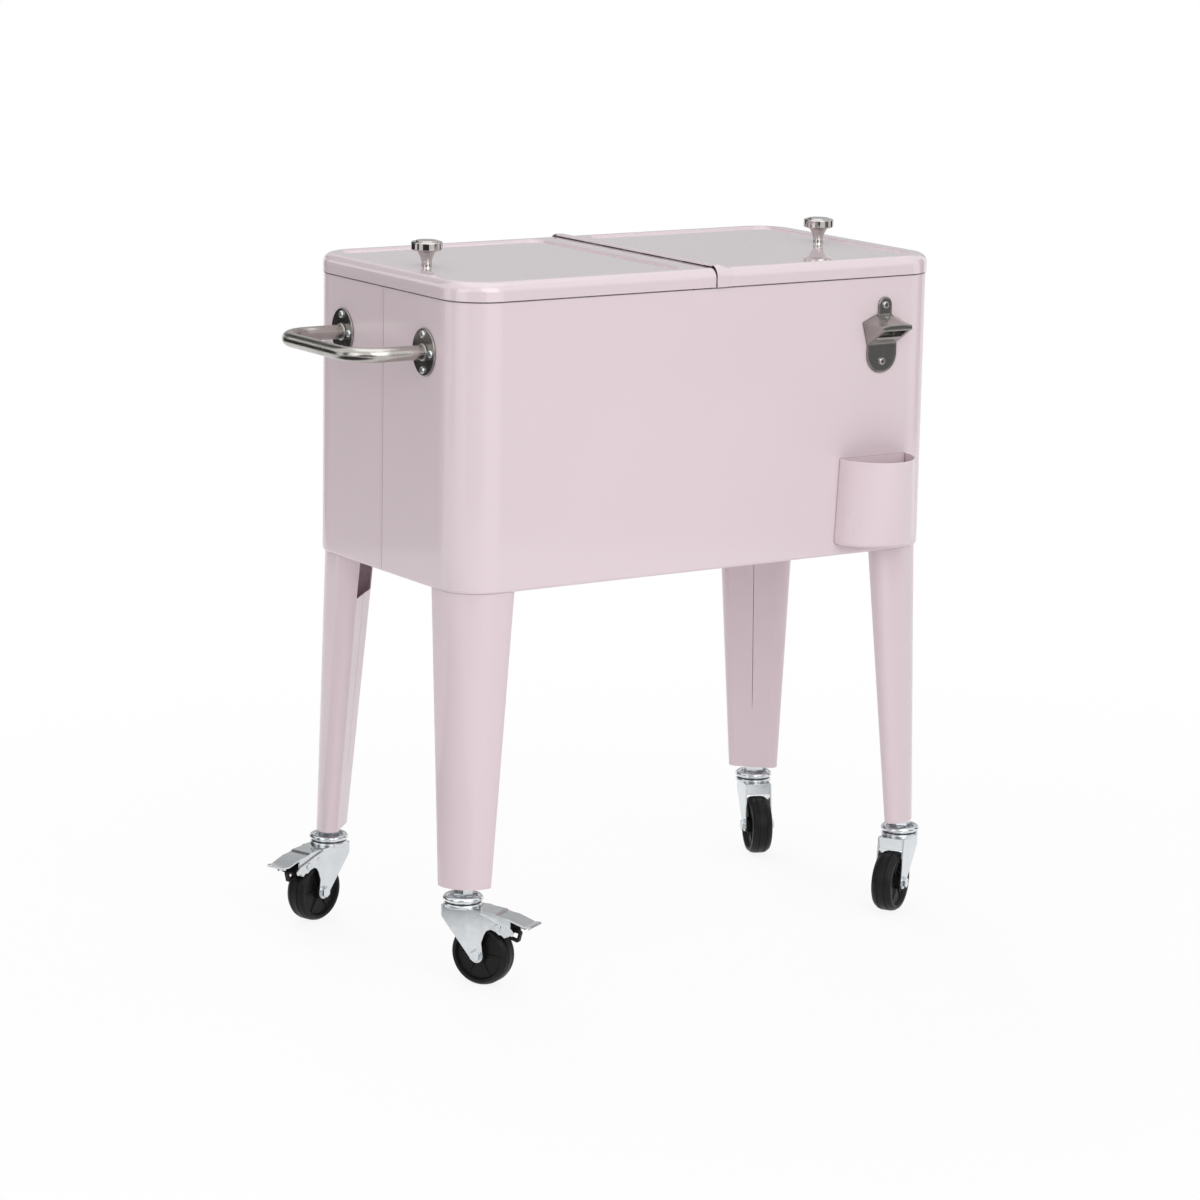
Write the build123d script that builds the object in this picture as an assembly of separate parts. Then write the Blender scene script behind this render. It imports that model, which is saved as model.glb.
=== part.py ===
"""Rolling patio cooler: an insulated steel bin with two flap lids, on four tapered legs with swivel casters.

Sizes are millimetres. Everything is worked out about the middle of the body, with Z up from the floor, and
is moved at the end so that the origin is the middle of the base of the whole cooler. The front is towards -Y.
"""

import os
from math import cos, pi, radians, sin, sqrt

from build123d import *

# Running values used by many pieces
overrun = 5.0          # how far a cutting tool passes its work
seat_gap = 0.3         # air left between neighbours that are not clamped together
pin_fit = 0.05         # radial clearance of a pin or stem in its bore

# Body shells
body_length = 640.0
body_width = 335.0
body_bottom_z = 433.0
body_top_z = 749.0
body_corner_r = 48.0
body_bottom_r = 4.0
body_top_r = 0.6
body_sheet = 1.0
bottom_flange = 28.0
top_flange = 14.0
shell_seam = 0.6
lap_strip_width = 12.0
pan_sheet = 1.0
foam_gap = 1.3

# Inner liner
bin_wall = 30.0
bin_bottom = 35.0
bin_corner_r = 30.0
bin_floor_r = 18.0
liner_wall = 2.0
liner_edge_inset = 8.0
gasket_width = 6.0
gasket_height = 2.0
gasket_inset = 14.0

# Centre crossbar
crossbar_width = 44.0
crossbar_depth = 14.0
crossbar_sheet = 1.5
crossbar_tab = 2.0

# Lids
lid_overhang = 1.5
lid_lift = 1.5
lid_height = 20.5
lid_edge_r = 11.0
lid_sheet = 0.8
seam_x = 4.05
seam_gap = 0.7
ridge_rise = 3.5
ridge_side = 1.8
ridge_flat = 8.0
ridge_ramp = 14.0
panel_depth = 2.0
panel_slope = 1.6
panel_corner_r = 17.0
panel_end_margin = 27.0
panel_side_margin = 20.0
left_panel_margin = 31.5
right_panel_margin = 35.0
lid_pan_gap = 0.3
lid_pan_sheet = 1.0
lid_plug_depth = 8.0
lid_plug_inset = 10.0
lid_plug_r = 22.0
lid_foam_inset = 16.0

# Lid hinges: a pin for each lid, side by side above the crossbar
hinge_end_gap = 27.5
knuckle_count = 7
knuckle_gap = 0.4
hinge_pin_r = 1.0
knuckle_r = 1.8
lip_clearance = 0.2
lip_start_angle = 90.0
lip_end_angle = 165.0
left_knuckle_clearance = 0.6
left_edge_reach = 4.5
riser_sheet = 0.9
leaf_sheet = 1.0

# Knobs
knob_from_end = 54.0
knob_base_r = 6.0
knob_neck_r = 6.4
knob_neck_z = 8.0
knob_under_r = 11.0
knob_under_z = 16.5
knob_head_r = 17.5
knob_head_low_z = 19.0
knob_head_high_z = 26.0
knob_chamfer = 1.2
knob_crown_r = 13.0
knob_height = 28.6
knob_screw_r = 2.5
knob_screw_reach = 12.0
knob_screw_head_r = 5.0
knob_screw_head = 3.0
knob_screw_pocket_r = 6.5

# Legs
leg_inset = 3.0
leg_splay = 3.75
leg_bottom_z = 105.0
leg_top_width = 73.7
leg_top_corner_r = 45.0
leg_top_edge_r = 15.0
leg_bottom_width = 48.0
leg_bottom_corner_r = 36.0
leg_bottom_edge_r = 10.0
leg_wall = 1.4
leg_top_plate = 2.0
leg_bottom_plate = 2.5
leg_window = 50.0
leg_weld_slit = 0.6
leg_corner_bolt = 21.0
leg_bolt_r = 3.0
leg_bolt_hole = 3.3
leg_bolt_head = 4.0
leg_bolt_head_r = 5.7
leg_bolt_tip = 3.0
leg_nut = 5.0
leg_nut_pocket = 7.5
leg_nut_pocket_depth = 9.0
stem_inset = 20.0
socket_r = 9.0
socket_height = 14.0

# Casters
wheel_r = 35.0
wheel_width = 24.0
wheel_edge_r = 3.4
wheel_rim_r = 28.5
wheel_dish = 4.0
wheel_hub_r = 9.0
wheel_hub_width = 28.4
wheel_bore_r = 3.08
tread_groove = 0.8
tread_groove_width = 1.4
tread_groove_y = 4.5
caster_trail = 26.0
axle_r = 3.0
axle_head_r = 6.0
axle_head = 3.4
axle_washer_r = 7.0
axle_washer = 0.9
fork_sheet = 1.8
fork_gap = 0.3
fork_top_z = 86.0
fork_front = 20.0
fork_rear = 28.0
fork_shoulder = 10.0
fork_end_r = 8.0
fork_front_wall = 15.0
fork_rear_band = 13.0
race_low_r = 21.5
race_low_inner_r = 9.0
race_low_height = 3.2
race_chamfer = 1.4
race_gap = 0.3
dish_r = 22.5
dish_rim_r = 3.4
dish_web = 2.4
dish_drop = 1.6
dish_gap = 1.3
stem_r = 5.0
stem_foot_r = 8.0
stem_foot = 2.5
stem_hex_r = 12.0

# Brakes of the two left-hand casters
brake_pivot_x = 35.5
brake_pivot_z = 75.5
brake_pivot_r = 2.0
brake_rivet_x = 52.5
brake_rivet_z = 70.6
brake_rivet_r = 3.6
brake_rivet = 1.2
brake_ear_reach = 44.0
brake_ear_drop = 30.0
pedal_reach = 63.0
pedal_drop = 11.0
pedal_half_width = 14.0
pedal_tip_half_width = 12.5
pedal_sheet = 1.8
pedal_tip_r = 1.8
cheek_sheet = 1.8
cheek_drop = 19.0
pad_gap = 4.1
pad_depth = 8.0
pad_low_angle = 36.0
pad_high_angle = 60.0
pad_half_width = 11.9
pad_loop = 13.0
pad_loop_hole = 7.5
pad_loop_width = 5.0
pad_loop_tilt = 15.0
pad_loop_x = 66.0
pad_loop_z = 60.5
ear_shares = [
    (-0.10, 0.06), (0.00, -0.02), (0.30, -0.14), (0.62, -0.30), (0.90, -0.42), (1.00, -0.58), (0.97, -0.70),
    (0.88, -0.67), (0.80, -0.76), (0.70, -0.68), (0.60, -0.72), (0.50, -0.62), (0.36, -0.56), (0.24, -0.64),
    (0.17, -0.80), (0.10, -1.10), (-0.10, -1.30),
]
pedal_shares = [
    (0.00, 0.00), (0.30, -0.12), (0.36, -0.32), (0.55, -0.42), (0.70, -0.66), (0.86, -0.94), (0.97, -0.90),
]
cheek_shares = [
    (-0.04, -0.20), (0.01, -0.20), (0.03, -0.05), (0.30, -0.12), (0.53, -0.28), (0.60, -0.34), (0.60, -1.25),
    (0.50, -1.40), (0.38, -1.15), (0.22, -0.90), (0.10, -0.95), (-0.04, -0.85),
]

# Caster places: which way each wheel trails from its stem, in degrees from +X, and whether it has a brake
caster_angles = {"front_left": -61.0, "front_right": -148.0, "back_left": 199.0, "back_right": -112.0}
braked = ("front_left", "back_left")
corner_sides = {"front_left": (-1, -1), "front_right": (1, -1), "back_left": (-1, 1), "back_right": (1, 1)}

# Handle, on the left-hand end
handle_tube_r = 8.0
handle_tube_wall = 1.2
handle_reach = 84.5
handle_bend_r = 38.0
handle_half_spacing = 87.6
handle_below_top = 60.0
handle_plate_width = 46.0
handle_plate_height = 52.0
handle_plate = 2.3
handle_screw_up = 19.5
handle_screw_side = 16.0
screw_r = 2.1
screw_hole_r = 2.4
screw_length = 12.0
screw_head_r = 4.2
screw_head = 2.4
screw_slot = 1.1
screw_slot_depth = 1.2
screw_pocket_r = 3.0
screw_pocket_end = 2.5
screw_dome_share = 0.7

# Bottle opener
opener_from_end = 85.0
opener_sheet = 2.0
opener_ear_top_below = 22.4
opener_ear_width = 18.0
opener_ear_shift = 3.0
opener_width = 41.0
opener_bottom_below = 108.4
opener_hood_top_below = 42.0
opener_wing_below = 50.0
opener_wing_half = 27.5
opener_lip_below = 52.0
opener_lip_half = 20.5
opener_lip_reach = 30.0
opener_lip_thickness = 4.6
opener_lip_crown = 1.6
opener_root_below = 76.0
opener_mouth_half = 16.5
opener_tooth = 6.0
opener_dimple_r = 2.4
opener_upper_screw_below = 31.4
opener_lower_screw_below = 95.3

# Cap catcher
catcher_from_end = 92.0
catcher_above_bottom = 14.0
catcher_height = 98.0
catcher_top_half = 46.5
catcher_bottom_half = 51.5
catcher_top_depth = 52.0
catcher_bottom_depth = 46.0
catcher_sheet = 1.2
catcher_bottom_r = 4.0
catcher_screw_x = 31.0
catcher_screw_below = 40.0
half_turn = 180

# Drain, in a sump in the floor of the bin
drain_from_end = 140.0
drain_y = 70.0
drain_sump_r = 17.0
drain_sump = 4.5
drain_tube_r = 8.0
drain_bore_r = 6.0
drain_flange_r = 13.0
drain_flange = 2.0
drain_gasket_r = 12.0
drain_gasket = 1.5
drain_nut_r = 14.0
drain_nut = 6.0
drain_spout = 20.0
drain_hole_gap = 0.3
drain_cap_wall = 2.0
drain_cap_fit = 0.08
drain_cap_rib_r = 0.9
drain_cap_ribs = 16

# Places that follow from the sizes above
bin_length = body_length - 2 * bin_wall
bin_width = body_width - 2 * bin_wall
bin_floor_z = body_bottom_z + bin_bottom
hinge_length = body_width - 2 * hinge_end_gap
knob_x = body_length / 2 - knob_from_end
opener_x = body_length / 2 - opener_from_end
catcher_x = body_length / 2 - catcher_from_end
catcher_bottom_z = body_bottom_z + catcher_above_bottom
catcher_top_z = catcher_bottom_z + catcher_height
drain_x = body_length / 2 - drain_from_end
sump_z = bin_floor_z - drain_sump
lid_low_z = body_top_z + lid_lift
rim_z = lid_low_z + lid_height
panel_z = rim_z - panel_depth
lid_length = body_length + 2 * lid_overhang
lid_width = body_width + 2 * lid_overhang
left_edge_x = seam_x - seam_gap / 2
right_edge_x = seam_x + seam_gap / 2
lip_inner_r = knuckle_r + lip_clearance
lip_outer_r = lip_inner_r + lid_sheet
ridge_z = rim_z + ridge_rise
left_pin = (left_edge_x - left_edge_reach, rim_z - lid_sheet - left_knuckle_clearance - knuckle_r)
right_pin = (right_edge_x + lip_outer_r, ridge_z - lip_outer_r)
ridge_end_x = right_edge_x + ridge_flat
ramp_end_x = ridge_end_x + ridge_ramp
liner_top_z = body_top_z + liner_wall
pan_top_z = body_bottom_z + body_sheet + pan_sheet
lid_pan_z = liner_top_z + gasket_height + lid_pan_gap
stem_x = body_length / 2 - leg_inset + leg_splay - stem_inset
stem_y = body_width / 2 - leg_inset + leg_splay - stem_inset
fork_inner_y = wheel_hub_width / 2 + fork_gap
fork_outer_y = fork_inner_y + fork_sheet
race_top_z = fork_top_z + race_low_height
dish_low_z = race_top_z + dish_gap
handle_z = body_top_z - handle_below_top
handle_end_x = -body_length / 2
opener_y = -body_width / 2
opener_lower_screw_z = body_top_z - opener_lower_screw_below
opener_upper_screw_z = body_top_z - opener_upper_screw_below
opener_root_z = body_top_z - opener_root_below
opener_lip_z = body_top_z - opener_lip_below
opener_wing_z = body_top_z - opener_wing_below
opener_hood_top_z = body_top_z - opener_hood_top_below
opener_bottom_z = body_top_z - opener_bottom_below
opener_ear_top_z = body_top_z - opener_ear_top_below
parts = {}


def slab(length, width, corner_r, low_z, high_z):
    """A rounded rectangle lying flat about the middle, from one height to another."""
    return Pos(0, 0, low_z) * extrude(RectangleRounded(length, width, corner_r), high_z - low_z)


def block(low, high):
    """A box between two corners."""
    size = [b - a for a, b in zip(low, high)]
    middle = [(a + b) / 2 for a, b in zip(low, high)]
    return Pos(*middle) * Box(*size)


def rod(radius, start, end):
    """A round bar between two points."""
    run = Vector(*end) - Vector(*start)
    return extrude(Plane(origin=start, z_dir=run) * Circle(radius), run.length)


def upright(sketch, low_y, high_y):
    """A sketch stood up in X and Z, and pushed from one Y to another."""
    return Rot(90, 0, 0) * (Pos(0, 0, -high_y) * extrude(sketch, high_y - low_y, dir=(0, 0, 1)))


def sideways(sketch, low_x, high_x):
    """A sketch stood up in Y and Z, and pushed from one X to another."""
    return Pos(low_x, 0, 0) * extrude(Plane.YZ * sketch, high_x - low_x, dir=(1, 0, 0))


def turned(outline):
    """A ring turned about Z from an outline of radius and height."""
    return revolve(Plane.XZ * outline, axis=Axis.Z)


def outline(*points):
    """A flat face with straight sides through the points."""
    return Polygon(*points, align=None)


def placed(shape, point, direction):
    """Moves a shape made along +Z from the origin to a point, facing a direction."""
    return Plane(origin=point, z_dir=direction).location * shape


def pan_screw():
    """A round-headed screw seated on z = 0 with its head up and its cross recess cut."""
    head = extrude(Circle(screw_head_r), screw_head)
    head = fillet(head.edges().group_by(Axis.Z)[-1], screw_head * screw_dome_share)
    shank = Pos(0, 0, -screw_length) * extrude(Circle(screw_r), screw_length)
    slot_box = Box(screw_head_r, screw_slot, screw_slot_depth * 2)
    slots = Pos(0, 0, screw_head) * (slot_box + Rot(0, 0, 90) * slot_box)
    return head + shank - slots


def screw_pocket():
    """The hole that a pan screw needs in the sheet and the foam behind it."""
    reach = screw_length + screw_pocket_end
    return Pos(0, 0, -reach) * extrude(Circle(screw_pocket_r), reach)


def screw_places():
    """Where each pan screw of the body sits: name, point on its seat and the way its head faces."""
    places = []
    for foot in (-1, 1):
        centre_y = foot * handle_half_spacing
        for away_y, away_z in ((0, 1), (0, -1), (1, 0), (-1, 0)):
            screw_y = centre_y + away_y * handle_screw_side
            screw_z = handle_z + away_z * handle_screw_up
            places.append(("handle", (handle_end_x - handle_plate, screw_y, screw_z), (-1, 0, 0)))
    opener_seat_y = opener_y - opener_sheet
    for x, z in ((opener_ear_shift, opener_upper_screw_z), (0, opener_lower_screw_z)):
        places.append(("front", (opener_x + x, opener_seat_y, z), (0, -1, 0)))
    catcher_screw_z = catcher_top_z - catcher_screw_below
    for side in (-1, 1):
        point = (catcher_x + side * catcher_screw_x, opener_y - catcher_sheet, catcher_screw_z)
        places.append(("front", point, (0, -1, 0)))
    return places


def all_screw_pockets():
    """The pockets behind every pan screw, as one tool."""
    return [placed(screw_pocket(), point, direction) for _, point, direction in screw_places()]


def screw_holes():
    """Clearance holes through the sheets under every pan screw."""
    hole = Pos(0, 0, -screw_length) * extrude(Circle(screw_hole_r), screw_length)
    return [placed(hole, point, direction) for _, point, direction in screw_places()]


def drain_bar(radius, low_z, high_z):
    """An upright round bar on the drain's axis."""
    return rod(radius, (drain_x, drain_y, low_z), (drain_x, drain_y, high_z))


def drain_hole(radius):
    """A round tool along the drain, from inside the bin to under the body."""
    return drain_bar(radius, body_bottom_z - overrun, bin_floor_z + overrun)


def leg_section(z, inset):
    """The leg's folded triangle at a height, in by an inset, about the leg's outer corner."""
    share = (z - leg_bottom_z) / (body_bottom_z - leg_bottom_z)
    width = leg_bottom_width + (leg_top_width - leg_bottom_width) * share - 2 * inset
    corner_r = leg_bottom_corner_r + (leg_top_corner_r - leg_bottom_corner_r) * share - inset
    edge_r = leg_bottom_edge_r + (leg_top_edge_r - leg_bottom_edge_r) * share - inset
    shift = inset - leg_splay * (1 - share)
    edge_centre = width - edge_r
    slant = edge_r / sqrt(2)
    mid_side = edge_r * cos(radians(22.5))
    mid_drop = edge_r * sin(radians(22.5))
    corner_mid = corner_r * (1 - 1 / sqrt(2))
    first = (edge_centre + mid_side, edge_r - mid_drop)
    second = (edge_r - mid_drop, edge_centre + mid_side)
    sides = [
        Line((corner_r, 0), (edge_centre, 0)),
        ThreePointArc((edge_centre, 0), first, (edge_centre + slant, edge_r + slant)),
        Line((edge_centre + slant, edge_r + slant), (edge_r + slant, edge_centre + slant)),
        ThreePointArc((edge_r + slant, edge_centre + slant), second, (0, edge_centre)),
        Line((0, edge_centre), (0, corner_r)),
        ThreePointArc((0, corner_r), (corner_mid, corner_mid), (corner_r, 0)),
    ]
    return Pos(shift, shift, z) * make_face(sides)


def leg_bolt_places():
    """The three bolts of a leg, measured in from its outer corner at the top."""
    along = leg_top_width - leg_top_edge_r
    return [(leg_corner_bolt, leg_corner_bolt), (along, leg_top_edge_r), (leg_top_edge_r, along)]


def at_corner(shape, corner):
    """Moves a shape made about a leg's outer corner to one corner of the body."""
    side_x, side_y = corner_sides[corner]
    if side_x > 0:
        shape = mirror(shape, about=Plane.YZ)
    if side_y > 0:
        shape = mirror(shape, about=Plane.XZ)
    reach_x = body_length / 2 - leg_inset
    reach_y = body_width / 2 - leg_inset
    return Pos(side_x * reach_x, side_y * reach_y, 0) * shape


def bolt_tools(radius, low_z, high_z):
    """Round tools on the bolts of all four legs."""
    tools = []
    for corner in corner_sides:
        for u, v in leg_bolt_places():
            tools.append(at_corner(rod(radius, (u, v, low_z), (u, v, high_z)), corner))
    return tools


def body_shells():
    """The front and back shells, which meet halfway along both ends."""
    outer = slab(body_length, body_width, body_corner_r, body_bottom_z, body_top_z)
    outer = fillet(outer.edges().group_by(Axis.Z)[0], body_bottom_r)
    outer = fillet(outer.edges().group_by(Axis.Z)[-1], body_top_r)
    inner_length = body_length - 2 * body_sheet
    inner_width = body_width - 2 * body_sheet
    inner_r = body_corner_r - body_sheet
    inner = slab(inner_length, inner_width, inner_r, body_bottom_z + body_sheet, body_top_z - body_sheet)
    inner = fillet(inner.edges().group_by(Axis.Z)[0], body_bottom_r - body_sheet)
    base_length = body_length - 2 * bottom_flange
    base_width = body_width - 2 * bottom_flange
    base_r = body_corner_r - bottom_flange
    base_hole = slab(base_length, base_width, base_r, body_bottom_z - overrun, bin_floor_z)
    mouth_length = body_length - 2 * top_flange
    mouth_width = body_width - 2 * top_flange
    mouth = slab(mouth_length, mouth_width, body_corner_r - top_flange, bin_floor_z, body_top_z + overrun)
    skin = outer - inner - base_hole - mouth
    skin -= screw_holes()
    skin -= bolt_tools(leg_bolt_hole, body_bottom_z - overrun, pan_top_z)
    reach = body_length + body_width
    front_half = block((-reach, -reach, 0), (reach, -shell_seam / 2, body_top_z + reach))
    back_half = block((-reach, shell_seam / 2, 0), (reach, reach, body_top_z + reach))
    back = skin & back_half
    strip_low = body_bottom_z + body_bottom_r + body_sheet
    for side in (-1, 1):
        face_x = side * (body_length / 2 - body_sheet)
        low = (min(face_x, face_x - side * body_sheet), -lap_strip_width / 2, strip_low)
        high = (max(face_x, face_x - side * body_sheet), lap_strip_width / 2, body_top_z - body_sheet)
        back += block(low, high)
    parts["front_shell"] = skin & front_half
    parts["back_shell"] = back


def bottom_and_foam():
    """The flat bottom pan and the foam that fills the space round the liner."""
    inset = body_bottom_r + seat_gap
    pan_length = body_length - 2 * inset
    pan_width = body_width - 2 * inset
    pan = slab(pan_length, pan_width, body_corner_r - inset, body_bottom_z + body_sheet, pan_top_z)
    pan -= bolt_tools(leg_bolt_hole, body_bottom_z, pan_top_z + overrun)
    parts["bottom_pan"] = pan - drain_hole(drain_tube_r + drain_hole_gap)
    inset = body_sheet + foam_gap
    foam_top = body_top_z - body_sheet - seat_gap
    foam = slab(body_length - 2 * inset, body_width - 2 * inset, body_corner_r - inset, pan_top_z, foam_top)
    grow = liner_wall + seat_gap
    core_length = bin_length + 2 * grow
    core_width = bin_width + 2 * grow
    core = slab(core_length, core_width, bin_corner_r + grow, bin_floor_z - grow, foam_top + overrun)
    core = fillet(core.edges().group_by(Axis.Z)[0], bin_floor_r + grow)
    foam -= core
    foam -= drain_bar(drain_sump_r + grow, sump_z - grow, bin_floor_z)
    foam -= all_screw_pockets()
    foam -= bolt_tools(leg_nut_pocket, pan_top_z - overrun, pan_top_z + leg_nut_pocket_depth)
    parts["foam_core"] = foam - drain_hole(drain_tube_r + drain_hole_gap)


def inner_liner():
    """The bin's one-piece liner, hung by its flange from the shells."""
    outer_low = bin_floor_z - liner_wall
    outer_length = bin_length + 2 * liner_wall
    outer_width = bin_width + 2 * liner_wall
    outer = slab(outer_length, outer_width, bin_corner_r + liner_wall, outer_low, liner_top_z)
    outer = fillet(outer.edges().group_by(Axis.Z)[0], bin_floor_r + liner_wall)
    flange_length = body_length - 2 * liner_edge_inset
    flange_width = body_width - 2 * liner_edge_inset
    outer += slab(flange_length, flange_width, body_corner_r - liner_edge_inset, body_top_z, liner_top_z)
    inner = slab(bin_length, bin_width, bin_corner_r, bin_floor_z, liner_top_z + overrun)
    inner = fillet(inner.edges().group_by(Axis.Z)[0], bin_floor_r)
    outer += drain_bar(drain_sump_r + liner_wall, sump_z - liner_wall, bin_floor_z)
    inner += drain_bar(drain_sump_r, sump_z, bin_floor_z + overrun)
    notch_half = crossbar_width / 2 + seat_gap
    notch_low = (-notch_half, -body_width, liner_top_z - crossbar_tab)
    notch = block(notch_low, (notch_half, body_width, liner_top_z + overrun))
    parts["inner_liner"] = outer - inner - notch - drain_hole(drain_tube_r + drain_hole_gap)
    gasket_length = body_length - 2 * gasket_inset
    gasket_wide = body_width - 2 * gasket_inset
    gasket_r = body_corner_r - gasket_inset
    top_z = liner_top_z + gasket_height
    ring = slab(gasket_length, gasket_wide, gasket_r, liner_top_z, top_z)
    hole_length = gasket_length - 2 * gasket_width
    hole_width = gasket_wide - 2 * gasket_width
    ring -= slab(hole_length, hole_width, gasket_r - gasket_width, liner_top_z - overrun, top_z + overrun)
    parts["rim_gasket"] = ring


def knuckle_spans(first):
    """The start and end of every second hinge knuckle along Y."""
    pitch = hinge_length / knuckle_count
    spans = []
    for index in range(first, knuckle_count, 2):
        start = index * pitch - hinge_length / 2
        spans.append((start + knuckle_gap / 2, start + pitch - knuckle_gap / 2))
    return spans


def knuckles(pin, spans):
    """Rolled knuckles round one hinge pin."""
    x, z = pin
    rings = []
    for start, end in spans:
        rings.append(rod(knuckle_r, (x, start, z), (x, end, z)))
    return rings


def pin_bore(pin):
    """The bore through all the knuckles of one hinge."""
    x, z = pin
    return rod(hinge_pin_r + pin_fit, (x, -hinge_length, z), (x, hinge_length, z))


def crossbar():
    """The fixed bar across the bin that carries both hinges, and the two pins."""
    half = crossbar_width / 2
    inner_y = bin_width / 2 - seat_gap
    beam = block((-half, -inner_y, liner_top_z - crossbar_depth), (half, inner_y, liner_top_z))
    hollow_half = half - crossbar_sheet
    low = (-hollow_half, -inner_y - overrun, liner_top_z - crossbar_depth - overrun)
    beam -= block(low, (hollow_half, inner_y + overrun, liner_top_z - crossbar_tab))
    tab_low = (-half, -body_width / 2, liner_top_z - crossbar_tab)
    beam += block(tab_low, (half, body_width / 2, liner_top_z))
    for pin in (left_pin, right_pin):
        x, z = pin
        low_x = x - riser_sheet / 2
        for start, end in knuckle_spans(0):
            beam += block((low_x, start, liner_top_z - crossbar_tab), (low_x + riser_sheet, end, z))
        beam += knuckles(pin, knuckle_spans(0))
        beam -= pin_bore(pin)
    parts["centre_crossbar"] = beam
    for name, (x, z) in (("left_hinge_pin", left_pin), ("right_hinge_pin", right_pin)):
        parts[name] = rod(hinge_pin_r, (x, -hinge_length / 2, z), (x, hinge_length / 2, z))


def arch(grow_side, grow_top, shrink):
    """The lid's arched section, grown for the ridge and shrunk for the inside of the sheet."""
    half = lid_width / 2 + grow_side - shrink
    top = rim_z + grow_top - shrink
    radius = lid_edge_r + grow_side - shrink
    low = lid_low_z - (overrun if shrink else 0)
    shape = outline((-half, low), (-half, top), (half, top), (half, low))
    return fillet(shape.vertices().group_by(Axis.Y)[-1], radius)


def lid_blank(shrink):
    """Both lids as one solid cap over the body, shrunk for the inside of the sheet."""
    low = lid_low_z - (overrun if shrink else 0)
    length = lid_length - 2 * shrink
    width = lid_width - 2 * shrink
    cap = slab(length, width, body_corner_r + lid_overhang - shrink, low, rim_z - shrink)
    return fillet(cap.edges().group_by(Axis.Z)[-1], lid_edge_r - shrink)


def panel_cut(side, drop, grow):
    """The sunk panel of one lid, cut with sloped sides."""
    margin = left_panel_margin if side < 0 else right_panel_margin
    near_x = seam_x + side * margin
    far_x = side * (lid_length / 2 - panel_end_margin)
    length = abs(far_x - near_x) + 2 * grow
    width = lid_width - 2 * panel_side_margin + 2 * grow
    floor_z = panel_z - drop
    rise = rim_z - panel_z
    low = Pos(0, 0, floor_z) * RectangleRounded(length, width, panel_corner_r + grow)
    wide = 2 * panel_slope
    high = RectangleRounded(length + wide, width + wide, panel_corner_r + grow + panel_slope)
    cut = loft([low, Pos(0, 0, floor_z + rise) * high], ruled=True)
    top = Pos(0, 0, floor_z + rise) * extrude(high, overrun)
    return Pos((near_x + far_x) / 2, 0, 0) * (cut + top)


def ridge(shrink):
    """The raised band along the right lid's inner edge and its ramp down to the panel."""
    tall = arch(ridge_side, ridge_rise, shrink)
    start_x = right_edge_x - (overrun if shrink else 0)
    flat = sideways(tall, start_x, ridge_end_x)
    plain = arch(0, 0, shrink)
    faces = [Pos(ridge_end_x, 0, 0) * (Plane.YZ * tall), Pos(ramp_end_x, 0, 0) * (Plane.YZ * plain)]
    return flat + loft(faces, ruled=True)


def lid_skins():
    """The two painted lid skins."""
    reach = body_length
    top = ridge_z + overrun
    left_half = block((-reach, -reach, 0), (left_edge_x, reach, top))
    right_half = block((right_edge_x, -reach, 0), (reach, reach, top))
    screw_hole = rod(knob_screw_r + pin_fit, (0, 0, panel_z - overrun), (0, 0, panel_z + overrun))
    left = (lid_blank(0) & left_half) - panel_cut(-1, 0, 0)
    left -= lid_blank(lid_sheet) - panel_cut(-1, lid_sheet, lid_sheet)
    parts["left_lid_skin"] = left - Pos(-knob_x, 0, 0) * screw_hole
    right = (lid_blank(0) & right_half) + ridge(0) - panel_cut(1, 0, 0)
    right -= lid_blank(lid_sheet) - panel_cut(1, lid_sheet, lid_sheet)
    right -= ridge(lid_sheet)
    pin_x, pin_z = right_pin
    nose_low = (right_edge_x - overrun, -reach, pin_z)
    nose = block(nose_low, (pin_x, reach, top))
    nose -= rod(lip_outer_r, (pin_x, -reach - overrun, pin_z), (pin_x, reach + overrun, pin_z))
    right -= nose
    parts["right_lid_skin"] = right + lip() - Pos(knob_x, 0, 0) * screw_hole


def lip():
    """The right lid's sheet curled round its hinge pin."""
    pin_x, pin_z = right_pin
    half = lid_width / 2 - lid_edge_r
    far = 2 * lip_outer_r
    wedge = [(0, 0)]
    for step in range(3):
        angle = radians(lip_start_angle + (lip_end_angle - lip_start_angle) * step / 2)
        wedge.append((far * cos(angle), far * sin(angle)))
    curl = (Circle(lip_outer_r) - Circle(lip_inner_r)) & outline(*wedge)
    return Pos(pin_x, 0, pin_z) * upright(curl, -half, half)


def hinge_leaves():
    """The lids' own hinge leaves, under the skins."""
    half = hinge_length / 2
    x, z = left_pin
    under = rim_z - lid_sheet
    clear = x - knuckle_r - left_knuckle_clearance
    far = seam_x - left_panel_margin + panel_slope + lid_sheet + seat_gap
    leaf = block((far, -half, under - leaf_sheet), (clear, half, under))
    for start, end in knuckle_spans(1):
        leaf += block((clear, start, under - leaf_sheet), (x, end, under))
    leaf += knuckles(left_pin, knuckle_spans(1))
    parts["left_hinge_leaf"] = leaf - pin_bore(left_pin)
    x, z = right_pin
    top = ridge_z - lid_sheet
    clear = x + knuckle_r + left_knuckle_clearance
    slope = (top - under) / (ramp_end_x - ridge_end_x)
    bend_out = seam_x + right_panel_margin - panel_slope - lid_sheet - seat_gap
    drop = leaf_sheet * sqrt(1 + slope * slope)
    profile = outline(
        (clear, top),
        (ridge_end_x, top),
        (ramp_end_x, under),
        (bend_out, under),
        (bend_out, under - leaf_sheet),
        (ramp_end_x, under - drop),
        (ridge_end_x, top - drop),
        (clear, top - leaf_sheet),
    )
    leaf = upright(profile, -half, half)
    for start, end in knuckle_spans(1):
        leaf += block((x, start, top - leaf_sheet), (clear, end, top))
    leaf += knuckles(right_pin, knuckle_spans(1))
    parts["right_hinge_leaf"] = leaf - pin_bore(right_pin)


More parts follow.
